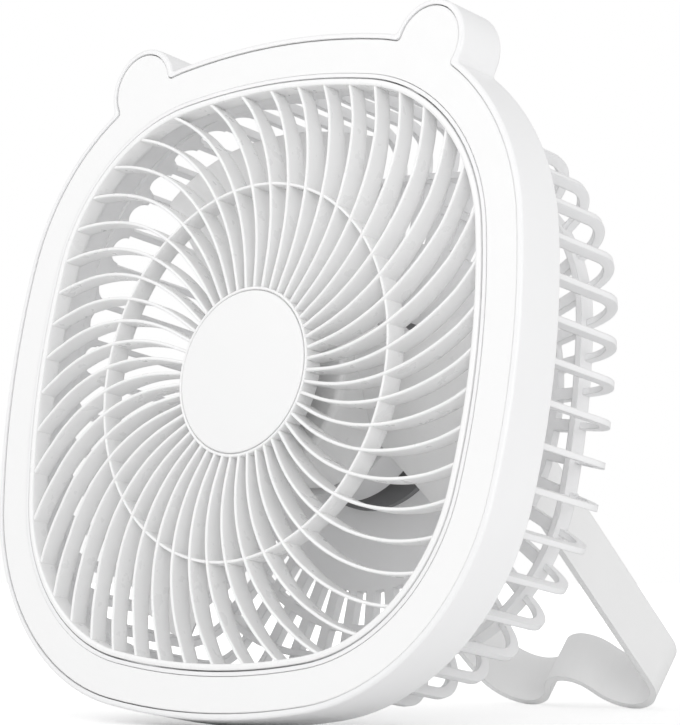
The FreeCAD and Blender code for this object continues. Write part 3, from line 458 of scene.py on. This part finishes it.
# %% Hub plate and cap
NEAR_AXIS = 0.02
PLATE_POINTS = 192
PLATE_RADIUS = 24.2
PLATE_FRONT = 0.55
PLATE_BACK = 2.4
INNER_RADIUS = 12
CAP_CREST = -0.5
CAP_DOME = 0.25
CAP_DOME_RADIUS = 22.5
CAP_EDGE_RADIUS = 23.3
CAP_EDGE_WIDTH = 0.5
CAP_EDGE_DEPTH = 0.4
CAP_SIDE_FRONT = 0.15
CAP_RADIUS = 23.8
CAP_BACK = 0.5


def turned_plate(name, radii, depths, node, slot_name):
    """A turned solid from a profile that starts and ends near the axis."""
    angle = np.linspace(0, 2 * np.pi, PLATE_POINTS, endpoint=False)
    radii, depths = np.asarray(radii)[:, None], np.asarray(depths)[:, None]
    points = np.stack([
        radii * np.cos(angle),
        depths * np.ones_like(angle),
        radii * np.sin(angle),
    ], axis=-1)
    skin(name, placed(points[None] * MM), node, "head", slot_name)


turned_plate(
    "grille_hub_plate",
    [NEAR_AXIS, INNER_RADIUS, PLATE_RADIUS, PLATE_RADIUS, INNER_RADIUS, NEAR_AXIS],
    [PLATE_FRONT] * 3 + [PLATE_BACK] * 3,
    "front_grille", "grille_white",
)

# The cap's front is a dome, then a rounded edge, then the straight side.
edge_turn = np.linspace(0, math.pi / 2, 8)
dome_reach = np.array([NEAR_AXIS, 3, 6, 9, 12, 15, 18, 21, CAP_DOME_RADIUS])
dome_depth = CAP_CREST + CAP_DOME * (dome_reach / CAP_DOME_RADIUS) ** 2
edge_reach = CAP_EDGE_RADIUS + CAP_EDGE_WIDTH * np.sin(edge_turn)
edge_depth = CAP_SIDE_FRONT - CAP_EDGE_DEPTH * np.cos(edge_turn)
cap_radii = np.concatenate([dome_reach, edge_reach, [CAP_RADIUS, INNER_RADIUS, NEAR_AXIS]])
cap_front = np.concatenate([dome_depth, edge_depth, [CAP_BACK] * 3])
turned_plate("hub_cap_disc", cap_radii, cap_front, "grille_hub_cap", "cap_white")
print("grille pieces done")

# %% [markdown]
# ## Camera
#
# The photographer stood to the fan's front right, a little below its middle, and looked slightly up.
# The place, the look and the long lens were worked out from the picture: the hub, the middle ring and
# the four-sided opening give away how the face is turned. Both are given in the fan's own frame. The
# camera has no roll.

# %% Camera
CAMERA_PLACE = placed(np.array([553.95, -556.5, -150.3]) * MM)
CAMERA_LOOK = LEANT @ np.array([-0.667, 0.719, 0.195])
PICTURE_LONG_SIDE = 725
FOCAL_PIXELS = 2800

lens = bpy.data.cameras.new("camera")
lens.sensor_width = 36  # Blender's usual sensor; only its ratio to the focal length counts
lens.lens = FOCAL_PIXELS * lens.sensor_width / PICTURE_LONG_SIDE
lens.clip_start = 0.01
camera = bpy.data.objects.new("camera", lens)
camera.location = Vector(CAMERA_PLACE)
camera.rotation_euler = Vector(CAMERA_LOOK).to_track_quat("-Z", "Y").to_euler()
bpy.context.scene.collection.objects.link(camera)
bpy.context.scene.camera = camera
print("lens:", round(lens.lens, 1), "mm")

# %% [markdown]
# ## Studio
#
# The picture is a product shot on pure white: a large soft light from the front and above, two weaker
# ones from the right, white all round, hardly a shadow. The world gives the white surround. Where the
# camera looks at it, also through something clear, it is plain white. For lighting it is a little
# dimmer, so that the white parts keep their shading.

# %% Studio
AMBIENT = 0.735
world = bpy.data.worlds.new("studio")
bpy.context.scene.world = world
world.use_nodes = True
nodes, links = world.node_tree.nodes, world.node_tree.links
background = nodes["Background"]
background.inputs["Color"].default_value = (1, 1, 1, 1)
path = nodes.new("ShaderNodeLightPath")
seen = nodes.new("ShaderNodeMath")
seen.operation = "MAXIMUM"
links.new(path.outputs["Is Camera Ray"], seen.inputs[0])
links.new(path.outputs["Is Transmission Ray"], seen.inputs[1])
level = nodes.new("ShaderNodeMapRange")
level.inputs["To Min"].default_value = AMBIENT
level.inputs["To Max"].default_value = 1.0
links.new(seen.outputs[0], level.inputs["Value"])
links.new(level.outputs["Result"], background.inputs["Strength"])


def soft_light(name, place, target, width, height, watts):
    """A large area light at place that faces target."""
    light = bpy.data.lights.new(name, "AREA")
    light.shape = "RECTANGLE"
    light.size = width
    light.size_y = height
    light.energy = watts
    item = bpy.data.objects.new(name, light)
    item.location = place
    item.rotation_euler = (Vector(target) - Vector(place)).to_track_quat("-Z", "Y").to_euler()
    bpy.context.scene.collection.objects.link(item)


MIDDLE = (0, -0.02, 0.1)  # metres, like all that follows
soft_light("key_light", (-0.9, -1.5, 1.3), MIDDLE, 1.4, 1.2, 7.8)
soft_light("fill_light", (1.25, -1.15, 0.35), MIDDLE, 1.1, 1.0, 7.2)
soft_light("side_light", (1.5, 0.1, 0.25), MIDDLE, 1.0, 0.45, 1.5)

FLOOR_SIZE = 12.0
floor_mesh = bpy.data.meshes.new("floor")
half = FLOOR_SIZE / 2
floor_corners = [(-half, -half, 0), (half, -half, 0), (half, half, 0), (-half, half, 0)]
floor_mesh.from_pydata(floor_corners, [], [(0, 1, 2, 3)])
floor = bpy.data.objects.new("floor", floor_mesh)
bpy.context.scene.collection.objects.link(floor)
paper = finish("white_paper", (0.93, 0.93, 0.93), 0.9, drift=0.004, grain=400, relief=0.01)
floor_mesh.materials.append(paper)

# %% [markdown]
# In the photograph the paper is white everywhere, with the faintest shade under the fan and no
# horizon. Real product shots light the paper on its own. Here the camera sees the paper with a little
# light of its own added: little near the fan, so that the shade stays, and more farther out.

# %% Paper that fades to white
FADE_NEAR = 0.12
FADE_FAR = 0.75
GLOW_NEAR = 0.30
GLOW_FAR = 0.75
nodes, links = paper.node_tree.nodes, paper.node_tree.links
paper_place = nodes.new("ShaderNodeTexCoord").outputs["Object"]
distance = nodes.new("ShaderNodeVectorMath")
distance.operation = "LENGTH"
links.new(paper_place, distance.inputs[0])
fade = nodes.new("ShaderNodeMapRange")
fade.inputs["From Min"].default_value = FADE_NEAR
fade.inputs["From Max"].default_value = FADE_FAR
fade.inputs["To Min"].default_value = GLOW_NEAR
fade.inputs["To Max"].default_value = GLOW_FAR
links.new(distance.outputs["Value"], fade.inputs["Value"])
paper_path = nodes.new("ShaderNodeLightPath")
lift = nodes.new("ShaderNodeMath")
lift.operation = "MULTIPLY"
links.new(fade.outputs["Result"], lift.inputs[0])
links.new(paper_path.outputs["Is Camera Ray"], lift.inputs[1])
paper_shader = nodes["Principled BSDF"]
paper_shader.inputs["Emission Color"].default_value = (1, 1, 1, 1)
links.new(lift.outputs["Value"], paper_shader.inputs["Emission Strength"])
bpy.context.scene.view_settings.view_transform = "Standard"
